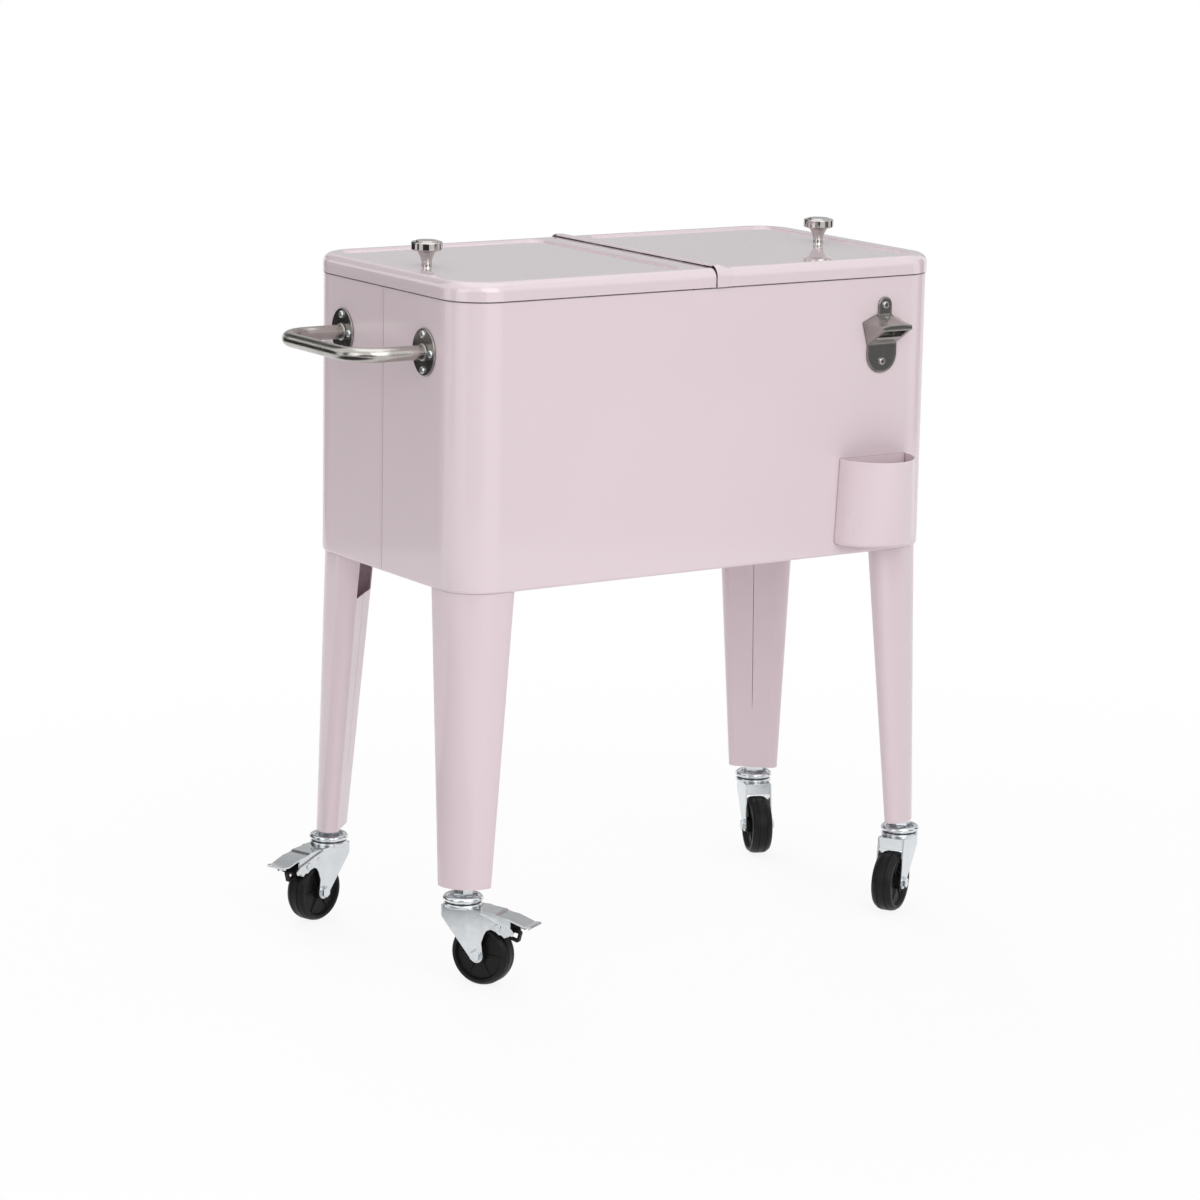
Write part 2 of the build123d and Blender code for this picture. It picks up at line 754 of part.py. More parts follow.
def lid_insides():
    """Each lid's inner pan with its plug, and its foam."""
    inset = lid_sheet + lid_pan_gap
    pan_length = lid_length - 2 * inset
    pan_width = lid_width - 2 * inset
    pan_r = body_corner_r + lid_overhang - inset
    pan_high = lid_pan_z + lid_pan_sheet
    plug_length = bin_length - 2 * lid_plug_inset
    plug_width = bin_width - 2 * lid_plug_inset
    plug_low = liner_top_z - lid_plug_depth
    wall = lid_pan_sheet
    foam_high = panel_z - lid_sheet - seat_gap
    foam_length = lid_length - 2 * lid_foam_inset
    foam_width = lid_width - 2 * lid_foam_inset
    reach = body_length
    near = crossbar_width / 2 + lid_plug_inset
    for side, name in ((-1, "left"), (1, "right")):
        pin_x = left_pin[0] if side < 0 else right_pin[0]
        pan_near = pin_x + side * (knuckle_r + 2 * leaf_sheet)
        pan_half = block_side(side, pan_near, reach)
        plug_half = block_side(side, side * near, reach)
        hollow_half = block_side(side, side * (near + wall), reach)
        plug_r = lid_plug_r
        plug = slab(plug_length, plug_width, plug_r, plug_low, pan_high) & plug_half
        hollow_length = plug_length - 2 * wall
        hollow_width = plug_width - 2 * wall
        hollow = slab(hollow_length, hollow_width, plug_r - wall, plug_low + wall, pan_high + overrun)
        pan = slab(pan_length, pan_width, pan_r, lid_pan_z, pan_high) & pan_half
        parts[name + "_lid_liner"] = pan + plug - (hollow & hollow_half)
        foam_near = side * (seam_x + right_panel_margin)
        foam_half = block_side(side, foam_near, reach)
        foam = slab(foam_length, foam_width, pan_r - lid_foam_inset, pan_high, foam_high) & foam_half
        fill_length = hollow_length - 2 * seat_gap
        fill_width = hollow_width - 2 * seat_gap
        fill_half = block_side(side, side * (near + wall + seat_gap), reach)
        fill = slab(fill_length, fill_width, plug_r - wall - seat_gap, plug_low + wall, pan_high)
        pocket_x = side * knob_x
        pocket_low = foam_high - knob_screw_head - overrun
        pocket = rod(knob_screw_pocket_r, (pocket_x, 0, pocket_low), (pocket_x, 0, foam_high + overrun))
        parts[name + "_lid_foam"] = foam + (fill & fill_half) - pocket


def block_side(side, near_x, reach):
    """Everything on one side of a plane across X."""
    low_x = min(near_x, side * reach)
    high_x = max(near_x, side * reach)
    return block((low_x, -reach, 0), (high_x, reach, 2 * reach))


def knobs():
    """The turned lid knobs and the screws that hold them from inside."""
    rim_r = knob_head_r - knob_chamfer
    shoulder_z = knob_head_high_z + knob_chamfer
    neck = ThreePointArc((knob_base_r, 0), (knob_neck_r, knob_neck_z), (knob_under_r, knob_under_z))
    head = Polyline(
        (knob_under_r, knob_under_z),
        (rim_r, knob_head_low_z - knob_chamfer),
        (knob_head_r, knob_head_low_z),
        (knob_head_r, knob_head_high_z),
        (rim_r, shoulder_z),
        (knob_crown_r, shoulder_z),
        (knob_crown_r - knob_chamfer, knob_height),
        (0, knob_height),
        (0, 0),
        (knob_base_r, 0),
    )
    knob = Pos(0, 0, panel_z) * turned(make_face([neck, *head.edges()]))
    hole_top = panel_z + knob_screw_reach + pin_fit
    knob -= rod(knob_screw_r + pin_fit, (0, 0, panel_z - overrun), (0, 0, hole_top))
    under = panel_z - lid_sheet
    screw = rod(knob_screw_r, (0, 0, under), (0, 0, panel_z + knob_screw_reach))
    head = rod(knob_screw_head_r, (0, 0, under - knob_screw_head), (0, 0, under))
    head = fillet(head.edges().group_by(Axis.Z)[0], knob_screw_head / 3)
    for direction, name in ((-1, "left"), (1, "right")):
        parts[name + "_knob"] = Pos(direction * knob_x, 0, 0) * knob
        parts[name + "_knob_screw"] = Pos(direction * knob_x, 0, 0) * (screw + head)


def legs():
    """The four folded legs with their top and bottom plates, and what bolts them to the body."""
    outer = loft([leg_section(leg_bottom_z, 0), leg_section(body_bottom_z, 0)], ruled=True)
    plate_low = leg_bottom_z + leg_bottom_plate
    plate_high = body_bottom_z - leg_top_plate
    inner = loft([leg_section(plate_low, leg_wall), leg_section(plate_high, leg_wall)], ruled=True)
    leg = outer - inner
    flat = sqrt(2) * (leg_top_width - 2 * leg_top_edge_r)
    face_from_corner = (leg_top_width + sqrt(2) * leg_top_edge_r) / sqrt(2)
    middle_z = plate_high - leg_window / 2
    window = Box(4 * leg_wall + 2 * leg_splay, flat, leg_window)
    leg -= Rot(0, 0, 45) * Pos(face_from_corner, 0, middle_z) * window
    slit_low = (leg_top_corner_r, -leg_weld_slit / 2, plate_low + leg_wall)
    slit = block(slit_low, (2 * leg_top_width, leg_weld_slit / 2, middle_z))
    leg -= Rot(0, 0, 45) * slit
    for u, v in leg_bolt_places():
        leg -= rod(leg_bolt_hole, (u, v, plate_high - overrun), (u, v, body_bottom_z + overrun))
    centre = stem_inset - leg_splay
    socket_top = plate_low + socket_height
    hole_low = (centre, centre, leg_bottom_z - overrun)
    stem_hole = rod(stem_r + pin_fit, hole_low, (centre, centre, socket_top + overrun))
    leg -= stem_hole
    socket = rod(socket_r, (centre, centre, plate_low), (centre, centre, socket_top)) - stem_hole
    sockets = []
    bolts = []
    nuts = []
    for corner in corner_sides:
        parts[corner + "_leg"] = at_corner(leg, corner)
        sockets.append(at_corner(socket, corner))
        for u, v in leg_bolt_places():
            head = extrude(RegularPolygon(leg_bolt_head_r, 6), leg_bolt_head)
            head = Pos(u, v, plate_high - leg_bolt_head) * head
            tip_z = pan_top_z + leg_nut + leg_bolt_tip
            bolt = head + rod(leg_bolt_r, (u, v, plate_high), (u, v, tip_z))
            nut = Pos(u, v, pan_top_z) * extrude(RegularPolygon(leg_bolt_head_r, 6), leg_nut)
            nut -= rod(leg_bolt_r + pin_fit, (u, v, body_bottom_z), (u, v, tip_z + overrun))
            bolts.append(at_corner(bolt, corner))
            nuts.append(at_corner(nut, corner))
    parts["caster_sockets"] = Compound(sockets)
    parts["leg_bolts"] = Compound(bolts)
    parts["leg_nuts"] = Compound(nuts)


def caster_stem():
    """The threaded stem with its hex, riveted foot and upper race."""
    foot_high = fork_top_z - fork_sheet - race_gap
    stem_top = leg_bottom_z + leg_bottom_plate + socket_height
    stem = rod(stem_r, (0, 0, foot_high - stem_foot), (0, 0, stem_top))
    stem += rod(stem_foot_r, (0, 0, foot_high - stem_foot), (0, 0, foot_high))
    rim_x = dish_r - dish_rim_r
    rim_z = dish_low_z + dish_rim_r
    web = outline(
        (0, dish_low_z),
        (rim_x, dish_low_z),
        (rim_x, dish_low_z + dish_web + dish_drop),
        (stem_foot_r, dish_low_z + dish_web),
        (0, dish_low_z + dish_web),
    )
    stem += turned(web) + turned(Pos(rim_x, rim_z) * Circle(dish_rim_r))
    hex_low = dish_low_z + dish_web
    stem += Pos(0, 0, hex_low) * extrude(RegularPolygon(stem_hex_r, 6), leg_bottom_z - hex_low)
    return stem


def fork(has_brake):
    """The pressed fork with its lower race, and the brake's ears where it has one."""
    top_z = fork_top_z
    shoulder = outline(
        (-fork_front, top_z),
        (fork_rear, top_z),
        (fork_rear, top_z - fork_sheet),
        (-fork_front, top_z - fork_shoulder),
    )
    end = Pos(caster_trail, wheel_r) * Circle(fork_end_r)
    side = make_hull(shoulder.edges() + end.edges())
    if has_brake:
        side += brake_ear()
    body = upright(side, fork_inner_y, fork_outer_y) + upright(side, -fork_outer_y, -fork_inner_y)
    top = block((-fork_front, -fork_outer_y, top_z - fork_sheet), (fork_rear, fork_outer_y, top_z))
    front_low = (-fork_front, -fork_outer_y, top_z - fork_front_wall)
    front = block(front_low, (fork_sheet - fork_front, fork_outer_y, top_z))
    wall = upright(side, -fork_outer_y, fork_outer_y)
    body += top + (front & wall)
    if not has_brake:
        band_low = (fork_rear - fork_sheet, -fork_outer_y, top_z - fork_rear_band)
        body += block(band_low, (fork_rear, fork_outer_y, top_z)) & wall
    corner_edges = body.edges().filter_by(Axis.Z).group_by(Axis.X)[0]
    body = fillet(corner_edges.filter_by(lambda e: abs(e.center().Y) > fork_inner_y), fork_sheet * 2)
    race = outline(
        (race_low_inner_r, top_z - fork_sheet),
        (race_low_r - race_chamfer, top_z - fork_sheet),
        (race_low_r, top_z - fork_sheet + race_chamfer),
        (race_low_r, race_top_z - race_chamfer),
        (race_low_r - race_chamfer, race_top_z),
        (race_low_inner_r, race_top_z),
    )
    body += turned(race)
    body -= rod(stem_r + pin_fit, (0, 0, top_z - fork_front_wall), (0, 0, race_top_z + overrun))
    outside = fork_outer_y + overrun
    hole = rod(axle_r + pin_fit, (caster_trail, -outside, wheel_r), (caster_trail, outside, wheel_r))
    body -= hole
    if has_brake:
        pivot_y = fork_outer_y + brake_rivet / 2
        pivot_start = (brake_pivot_x, -pivot_y, brake_pivot_z)
        body += rod(brake_pivot_r, pivot_start, (brake_pivot_x, pivot_y, brake_pivot_z))
        for way in (-1, 1):
            start = (brake_rivet_x, way * fork_outer_y, brake_rivet_z)
            end = (brake_rivet_x, way * (fork_outer_y + brake_rivet), brake_rivet_z)
            body += rod(brake_rivet_r, start, end)
    return body


def brake_ear():
    """The fork side's long ear beside the pedal, with its jagged lower edge."""
    top_z = fork_top_z - fork_sheet
    return outline(*[(fork_rear + x * brake_ear_reach, top_z + z * brake_ear_drop) for x, z in ear_shares])


def caster_axle():
    """The axle bolt with its head, washers and nut."""
    seat = fork_outer_y
    bolt = rod(axle_r, (0, -seat, 0), (0, seat + axle_head, 0))
    for way in (-1, 1):
        bolt += rod(axle_washer_r, (0, way * seat, 0), (0, way * (seat + axle_washer), 0))
        start = seat + axle_washer
        head = extrude(RegularPolygon(axle_head_r, 6), axle_head)
        bolt += placed(head, (0, way * start, 0), (0, way, 0))
    return Pos(caster_trail, 0, wheel_r) * bolt


def wheel():
    """The wheel: a grooved tread, dished sides and a long hub."""
    half = wheel_width / 2
    hub = wheel_hub_width / 2
    flat = half - wheel_dish
    side = [
        (wheel_bore_r, -hub),
        (wheel_hub_r, -hub),
        (wheel_hub_r, -flat),
        (wheel_rim_r - wheel_dish / 2, -flat),
        (wheel_rim_r, -half),
        (wheel_r - wheel_edge_r, -half),
        (wheel_r - wheel_edge_r / 4, wheel_edge_r - half),
        (wheel_r, wheel_edge_r * 2 - half),
    ]
    section = outline(*side, *[(r, -y) for r, y in reversed(side)])
    rim = turned(section)
    for way in (-1, 1):
        ring = Pos(wheel_r, way * tread_groove_y) * Rectangle(2 * tread_groove, tread_groove_width)
        rim -= turned(ring)
    return Pos(caster_trail, 0, wheel_r) * Rot(90, 0, 0) * rim


def brake_pedal():
    """The pressed brake pedal: a stepped top, a rolled tip and two cheeks on the pivot."""
    start_x = fork_rear + race_gap
    top = [(start_x + x * pedal_reach, fork_top_z + z * pedal_drop) for x, z in pedal_shares]
    under = [(x, z - pedal_sheet) for x, z in reversed(top)]
    tip_x, tip_z = top[-1]
    plate = upright(outline(*top, *under), -pedal_half_width, pedal_half_width)
    roll_z = tip_z - pedal_sheet
    plate += rod(pedal_tip_r, (tip_x, -pedal_half_width, roll_z), (tip_x, pedal_half_width, roll_z))
    middle_x = start_x + pedal_reach / 2
    end_x = start_x + pedal_reach + overrun
    narrow = [
        (start_x - overrun, -pedal_half_width),
        (middle_x, -pedal_half_width),
        (end_x, -pedal_tip_half_width),
        (end_x, pedal_tip_half_width),
        (middle_x, pedal_half_width),
        (start_x - overrun, pedal_half_width),
    ]
    plate &= extrude(outline(*narrow), 2 * fork_top_z, dir=(0, 0, 1))
    cheek = outline(*[(start_x + x * pedal_reach, fork_top_z + z * cheek_drop) for x, z in cheek_shares])
    inner_y = pedal_half_width - cheek_sheet
    for low_y, high_y in ((inner_y, pedal_half_width), (-pedal_half_width, -inner_y)):
        plate += upright(cheek, low_y, high_y)
    bore_start = (brake_pivot_x, -fork_outer_y, brake_pivot_z)
    return plate - rod(brake_pivot_r + pin_fit, bore_start, (brake_pivot_x, fork_outer_y, brake_pivot_z))


def brake_pad():
    """The black pad that the pedal presses on the tread, with its square loop behind."""
    inner_r = wheel_r + pad_gap
    outer_r = inner_r + pad_depth
    far = 2 * outer_r
    wedge = [(0, 0)]
    for angle in (pad_low_angle, (pad_low_angle + pad_high_angle) / 2, pad_high_angle):
        wedge.append((far * cos(radians(angle)), far * sin(radians(angle))))
    sector = (Circle(outer_r) - Circle(inner_r)) & outline(*wedge)
    pad = upright(Pos(caster_trail, wheel_r) * sector, -pad_half_width, pad_half_width)
    loop = RectangleRounded(pad_loop, pad_loop, pad_loop / 6) - Rectangle(pad_loop_hole, pad_loop_hole)
    loop = Pos(pad_loop_x, pad_loop_z) * (Rot(0, 0, -pad_loop_tilt) * loop)
    return pad + upright(loop, -pad_loop_width / 2, pad_loop_width / 2)


def casters():
    """The four casters, each turned its own way on its stem."""
    for corner, (side_x, side_y) in corner_sides.items():
        has_brake = corner in braked
        place = Pos(side_x * stem_x, side_y * stem_y, 0) * Rot(0, 0, caster_angles[corner])
        parts[corner + "_stem"] = place * caster_stem()
        parts[corner + "_fork"] = place * fork(has_brake)
        parts[corner + "_axle"] = place * caster_axle()
        parts[corner + "_wheel"] = place * wheel()
        if has_brake:
            parts[corner + "_brake_pedal"] = place * brake_pedal()
            parts[corner + "_brake_pad"] = place * brake_pad()


def handle():
    """The tube handle on the left-hand end, its two oval plates and every pan screw of the body."""
    seat_x = handle_end_x - handle_plate
    far_x = handle_end_x - handle_reach
    y = handle_half_spacing
    corners = [(seat_x, -y, handle_z), (far_x, -y, handle_z), (far_x, y, handle_z), (seat_x, y, handle_z)]
    path = FilletPolyline(*corners, radius=handle_bend_r)
    start = Plane(origin=corners[0], z_dir=(-1, 0, 0))
    ring = Circle(handle_tube_r) - Circle(handle_tube_r - handle_tube_wall)
    parts["left_handle"] = sweep(start * ring, path=path)
    plate = extrude(Ellipse(handle_plate_width / 2, handle_plate_height / 2), handle_plate)
    plate = fillet(plate.edges().group_by(Axis.Z)[-1], handle_plate / 3)
    holes = screw_holes()
    plates = []
    for foot in (-1, 1):
        base = Plane(origin=(handle_end_x, foot * y, handle_z), x_dir=(0, 1, 0), z_dir=(-1, 0, 0))
        plates.append(base.location * plate - holes)
    parts["handle_plates"] = Compound(plates)
    screws = {"handle": [], "front": []}
    for group, point, direction in screw_places():
        screws[group].append(placed(pan_screw(), point, direction))
    parts["handle_screws"] = Compound(screws["handle"])
    parts["front_screws"] = Compound(screws["front"])


def bottle_opener():
    """The wall bottle opener: a flat back with an ear, and a hood with its mouth below the lip."""
    ear_r = opener_ear_width / 2
    half = opener_width / 2
    low_centre = opener_bottom_z + half
    ear = Pos(opener_ear_shift, opener_ear_top_z - ear_r) * Circle(ear_r)
    shoulder = outline(
        (opener_ear_shift - ear_r, opener_ear_top_z - ear_r),
        (opener_ear_shift + ear_r, opener_ear_top_z - ear_r),
        (opener_ear_shift + ear_r, opener_hood_top_z),
        (half, opener_wing_z),
        (half, low_centre),
        (-half, low_centre),
        (-half, opener_wing_z),
        (opener_ear_shift - ear_r, opener_hood_top_z),
    )
    back = ear + shoulder + Pos(0, low_centre) * Circle(half)
    shape = upright(back, -opener_sheet, 0)
    lip_low = opener_lip_z - opener_lip_thickness
    crown = opener_lip_z + opener_lip_crown
    wall = [
        (-ear_r, opener_hood_top_z), (ear_r, opener_hood_top_z), (opener_wing_half, opener_wing_z),
        (half, opener_root_z), (-half, opener_root_z), (-opener_wing_half, opener_wing_z),
    ]
    front = [
        (-ear_r, crown), (ear_r, crown), (opener_lip_half, opener_lip_z),
        (opener_lip_half, lip_low), (-opener_lip_half, lip_low), (-opener_lip_half, opener_lip_z),
    ]
    shape += between(wall, 0, front, -opener_lip_reach)
    sheet = opener_sheet
    mouth = opener_mouth_half
    ceiling = opener_hood_top_z - 2 * sheet
    root_in = opener_root_z + opener_tooth
    wall_in = [
        (-ear_r, ceiling), (ear_r, ceiling), (mouth, opener_wing_z - sheet),
        (mouth, root_in), (-mouth, root_in), (-mouth, opener_wing_z - sheet),
    ]
    lower = lip_low - opener_tooth
    front_in = [
        (-ear_r, crown - sheet), (ear_r, crown - sheet), (mouth, opener_lip_z - sheet),
        (mouth, lower), (-mouth, lower), (-mouth, opener_lip_z - sheet),
    ]
    shape -= between(wall_in, -sheet, front_in, sheet - opener_lip_reach)
    for x, z in ((opener_ear_shift, opener_upper_screw_z), (0, opener_lower_screw_z)):
        shape -= rod(screw_hole_r, (x, -opener_sheet - overrun, z), (x, overrun, z))
    dimple_z = (opener_hood_top_z + crown) / 2
    shape -= Pos(0, -opener_lip_reach / 3, dimple_z + opener_dimple_r / 2) * Sphere(opener_dimple_r)
    parts["bottle_opener"] = Pos(opener_x, opener_y, 0) * shape


def between(first, first_y, second, second_y):
    """A solid with straight sides between two upright outlines with as many points."""
    faces = []
    for points, y in ((first, first_y), (second, second_y)):
        ring = [(x, y, z) for x, z in points]
        faces.append(make_face(Polyline(*ring, close=True)))
    return loft(faces, ruled=True)


def half_oval(half, depth, z):
    """The cap catcher's plan: half an oval with its flat side on the wall."""
    curve = EllipticalCenterArc((0, 0), half, depth, start_angle=half_turn, arc_size=half_turn)
    return Pos(0, 0, z) * make_face([curve, Line(curve @ 1, curve @ 0)])


def cap_catcher():
    """The open-topped tapered cup for bottle caps."""
    top_z = catcher_top_z
    low_z = catcher_bottom_z
    outer = loft([
        half_oval(catcher_bottom_half, catcher_bottom_depth, low_z),
        half_oval(catcher_top_half, catcher_top_depth, top_z),
    ], ruled=True)
    low_curve = outer.edges().group_by(Axis.Z)[0].filter_by(GeomType.LINE, reverse=True)
    outer = fillet(low_curve, catcher_bottom_r)
    wall = catcher_sheet
    floor_z = low_z + wall
    inner = loft([
        half_oval(catcher_bottom_half - wall, catcher_bottom_depth - wall, floor_z),
        half_oval(catcher_top_half - wall, catcher_top_depth - wall, top_z),
    ], ruled=True)
    low_curve = inner.edges().group_by(Axis.Z)[0].filter_by(GeomType.LINE, reverse=True)
    inner = fillet(low_curve, catcher_bottom_r - wall)
    reach = body_width
    inner &= block((-reach, -reach, low_z), (reach, -wall, top_z))
    cup = outer - inner
    screw_z = top_z - catcher_screw_below
    for side in (-1, 1):
        x = side * catcher_screw_x
        cup -= rod(screw_hole_r, (x, -wall - overrun, screw_z), (x, overrun, screw_z))
    parts["cap_catcher"] = Pos(catcher_x, opener_y, 0) * cup


def drain():
    """The drain through the sump: fitting, gasket, nut and push-on cap."""
    gasket_top = sump_z + drain_gasket
    flange_top = gasket_top + drain_flange
    nut_low = body_bottom_z + body_sheet - drain_nut
    end_z = nut_low - drain_spout
    tube = drain_bar(drain_tube_r, end_z, flange_top) + drain_bar(drain_flange_r, gasket_top, flange_top)
    parts["drain_fitting"] = tube - drain_bar(drain_bore_r, end_z - overrun, flange_top + overrun)
    bore = drain_bar(drain_tube_r + pin_fit, nut_low - overrun, gasket_top + overrun)
    parts["drain_gasket"] = drain_bar(drain_gasket_r, sump_z, gasket_top) - bore
    nut = Pos(drain_x, drain_y, nut_low) * extrude(RegularPolygon(drain_nut_r, 6), drain_nut)
    parts["drain_nut"] = nut - bore
    cap_high = nut_low - seat_gap
    cap_low = end_z - seat_gap - drain_cap_wall
    cap_r = drain_tube_r + drain_cap_fit + drain_cap_wall
    cap = drain_bar(cap_r, cap_low, cap_high)
    for index in range(drain_cap_ribs):
        angle = 2 * pi * index / drain_cap_ribs
        x = drain_x + cap_r * cos(angle)
        y = drain_y + cap_r * sin(angle)
        cap += rod(drain_cap_rib_r, (x, y, cap_low), (x, y, cap_high))
    parts["drain_cap"] = cap - drain_bar(drain_tube_r + drain_cap_fit, end_z - seat_gap, cap_high + overrun)


def save_all():
    """Moves the whole cooler so that the middle of its base is the origin, and writes each piece."""
    bounds = Compound(list(parts.values())).bounding_box()
    middle = (bounds.min + bounds.max) / 2
    home = Pos(-middle.X, -middle.Y, -bounds.min.Z)
    print("moved by", -middle.X, -middle.Y, -bounds.min.Z)
    os.makedirs("parts", exist_ok=True)
    for name, shape in parts.items():
        export_step(home * shape, f"parts/{name}.step")


body_shells()
bottom_and_foam()
inner_liner()
crossbar()
lid_skins()
hinge_leaves()
lid_insides()
knobs()
legs()
casters()
handle()
bottle_opener()
cap_catcher()
drain()
save_all()
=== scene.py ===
"""Rolling patio cooler: materials, small fittings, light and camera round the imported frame.

Lengths are metres, angles in tables are degrees and colours are linear RGB.
"""

from math import cos, pi, radians, sin

import bmesh
import bpy
from mathutils import Matrix, Vector


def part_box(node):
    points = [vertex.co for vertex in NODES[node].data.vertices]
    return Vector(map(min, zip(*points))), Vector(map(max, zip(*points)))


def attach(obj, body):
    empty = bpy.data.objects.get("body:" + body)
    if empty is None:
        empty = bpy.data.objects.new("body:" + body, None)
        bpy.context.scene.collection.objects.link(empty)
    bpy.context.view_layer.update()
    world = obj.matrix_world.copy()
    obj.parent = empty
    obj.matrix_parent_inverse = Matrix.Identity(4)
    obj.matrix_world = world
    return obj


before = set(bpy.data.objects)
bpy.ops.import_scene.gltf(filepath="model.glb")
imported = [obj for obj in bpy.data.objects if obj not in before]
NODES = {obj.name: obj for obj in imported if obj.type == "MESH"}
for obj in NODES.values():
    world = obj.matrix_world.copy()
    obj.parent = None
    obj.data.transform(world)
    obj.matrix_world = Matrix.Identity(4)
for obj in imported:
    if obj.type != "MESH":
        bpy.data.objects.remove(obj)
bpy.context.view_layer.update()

MM = 0.001

# The middle of the body, from the boxes of its two shells
FRONT_LOW, FRONT_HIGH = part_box("front_shell")
BACK_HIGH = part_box("back_shell")[1]
BODY_X = (FRONT_LOW.x + FRONT_HIGH.x) / 2
BODY_Y = (FRONT_LOW.y + BACK_HIGH.y) / 2

# Camera, as solved from the photograph
VIEW_AZIMUTH = -33.9
VIEW_ELEVATION = 11.71
VIEW_ROLL = 1.14
VIEW_DISTANCE = 4.691
VIEW_HEIGHT = 0.3736
VIEW_TARGET = Vector((BODY_X, BODY_Y, VIEW_HEIGHT))
LENS = 122.28
SENSOR = 36.0
SHIFT = (-0.018, -0.0034)

# Lamps: name, azimuth, elevation, distance, size, watts, and whether reflections see it
LAMPS = (
    ("key_softbox", -6.0, 30.0, 3.4, 2.4, 39.0, True),
    ("top_softbox", -40.0, 86.0, 2.8, 2.4, 14.0, True),
    ("left_softbox", -70.0, 18.0, 3.6, 1.8, 9.0, True),
    ("corner_softbox", -48.0, 14.0, 3.6, 1.6, 3.6, False),
    ("back_softbox", 170.0, 34.0, 3.4, 2.0, 44.0, False),
)
WHITE = (1.0, 1.0, 1.0)
WORLD_FILL = 0.573
WORLD_TINT = (1.0, 0.99, 0.985)
FLOOR_GREY = (0.86, 0.86, 0.86)
FLOOR_HALF = 30.0
FLOOR_GLOW = 0.88
FLOOR_FADE = (0.55, 1.7)

# Grey cards that only reflections see: name, azimuth, elevation, distance, width, height, brightness.
# One below the horizon lies flat on the floor
CARDS = (
    ("front_card", 36.0, 0.0, 2.5, 1.3, 1.5, 0.20),
    ("near_card", -40.0, 0.0, 3.0, 2.4, 1.6, 0.05),
    ("handle_card", -168.0, 34.0, 3.6, 1.8, 2.2, 0.08),
    ("left_card", -146.0, 0.0, 2.5, 2.2, 1.5, 0.04),
    ("end_card", -96.0, 10.0, 3.6, 0.9, 2.6, 0.05),
    ("right_card", 84.0, 8.0, 3.6, 1.3, 2.6, 0.06),
    ("sky_card", 146.0, 24.0, 4.2, 4.6, 2.6, 0.52),
    ("floor_card", -84.0, -25.0, 1.55, 1.9, 1.7, 0.06),
)
FLOOR_CARD_HEIGHT = 2.0 * MM

# Casters, one at each corner
CORNERS = ("front_left", "front_right", "back_left", "back_right")

# The ribs on a wheel's web, each from its root by the hub to its tip by the rim
WHEEL_RIBS = 6
WHEEL_WEB = 8.0 * MM
RIB_REACH = (8.7 * MM, 26.2 * MM)
RIB_HALVES = (0.75 * MM, 0.55 * MM)
RIB_TOPS = (10.2 * MM, 9.0 * MM)
RIB_SINK = 0.1 * MM
RIB_SHOULDER = 0.5 * MM
RIB_SHARES = (1.5, 1.0, 0.55)

# A dark ring of painted shade in the gap between a caster's lower race and its dish
RACE_TOP = 89.2 * MM
DISH_LOW = 90.5 * MM
SHADE_RING_GAP = 0.1 * MM
SHADE_RING_INNER = 15.0 * MM
SHADE_RING_OUTER = 20.0 * MM
SHADE_RING_LIP = 0.4 * MM
SHADE_RING_STEPS = 72

# The weld round each foot of the handle's tube
TUBE_RADIUS = 8.0 * MM
BEAD_STEPS = 8
BEAD_INNER = 7.7 * MM
BEAD_SWELL = 2.0 * MM
BEAD_BASE = 0.1 * MM
BEAD_RISE = 1.08 * MM
BEAD_BACK = (7.6 * MM, 1.2 * MM)
BEAD_RIPPLE = 0.22 * MM
BEAD_RIPPLES = 24
BEAD_ROUND = 96

# Colours of the finishes, of the painted shade in their creases and along their joints, and of what lies on
# their edges
PINK = (0.725, 0.605, 0.645)
DEEP_PAINT = 0.965
PAINT_CREASE_SHADE = (0.48, 0.40, 0.41)
PAINT_JOINT_SHADE = (0.20, 0.13, 0.125)
PAINT_EDGE = (0.90, 0.84, 0.86)
ZINC = ((0.74, 0.77, 0.79), (0.67, 0.70, 0.72))
ZINC_CREASE_SHADE = (0.20, 0.21, 0.22)
STAMPED = ((0.42, 0.40, 0.385), (0.33, 0.315, 0.30))
BAR = ((0.54, 0.52, 0.49), (0.42, 0.40, 0.38))
STEEL_CREASE_SHADE = (0.12, 0.115, 0.11)
CHROME = (0.49, 0.47, 0.455)
CHROME_CREASE_SHADE = (0.10, 0.095, 0.09)
PAD_BLACK = ((0.008, 0.008, 0.008), (0.026, 0.026, 0.027))
WHEEL_BLACK = ((0.006, 0.006, 0.006), (0.024, 0.024, 0.023))
RUBBED_BLACK = (0.05, 0.05, 0.051)
LINER = ((0.84, 0.85, 0.85), (0.79, 0.80, 0.80))
LINER_CREASE_SHADE = (0.50, 0.50, 0.50)
FOAM = ((0.80, 0.72, 0.48), (0.62, 0.53, 0.31))
RUBBER = ((0.035, 0.035, 0.036), (0.085, 0.085, 0.085))

# How each steel's grain is drawn out, the usual run of a noise, and the depth of a fine texture
UPRIGHT_GRAIN = (1.0, 1.0, 0.05)
BAR_GRAIN = (1.0, 0.06, 1.0)
MID_NOISE = (0.3, 0.7)
FINE_DEPTH = 0.2 * MM

# The ambient occlusion at which an edge, a crease or a joint starts to show, and where it is full
EDGE_FADE = (0.62, 0.30)
CREASE_FADE = (0.85, 0.35)
JOINT_FADE = (0.80, 0.45)


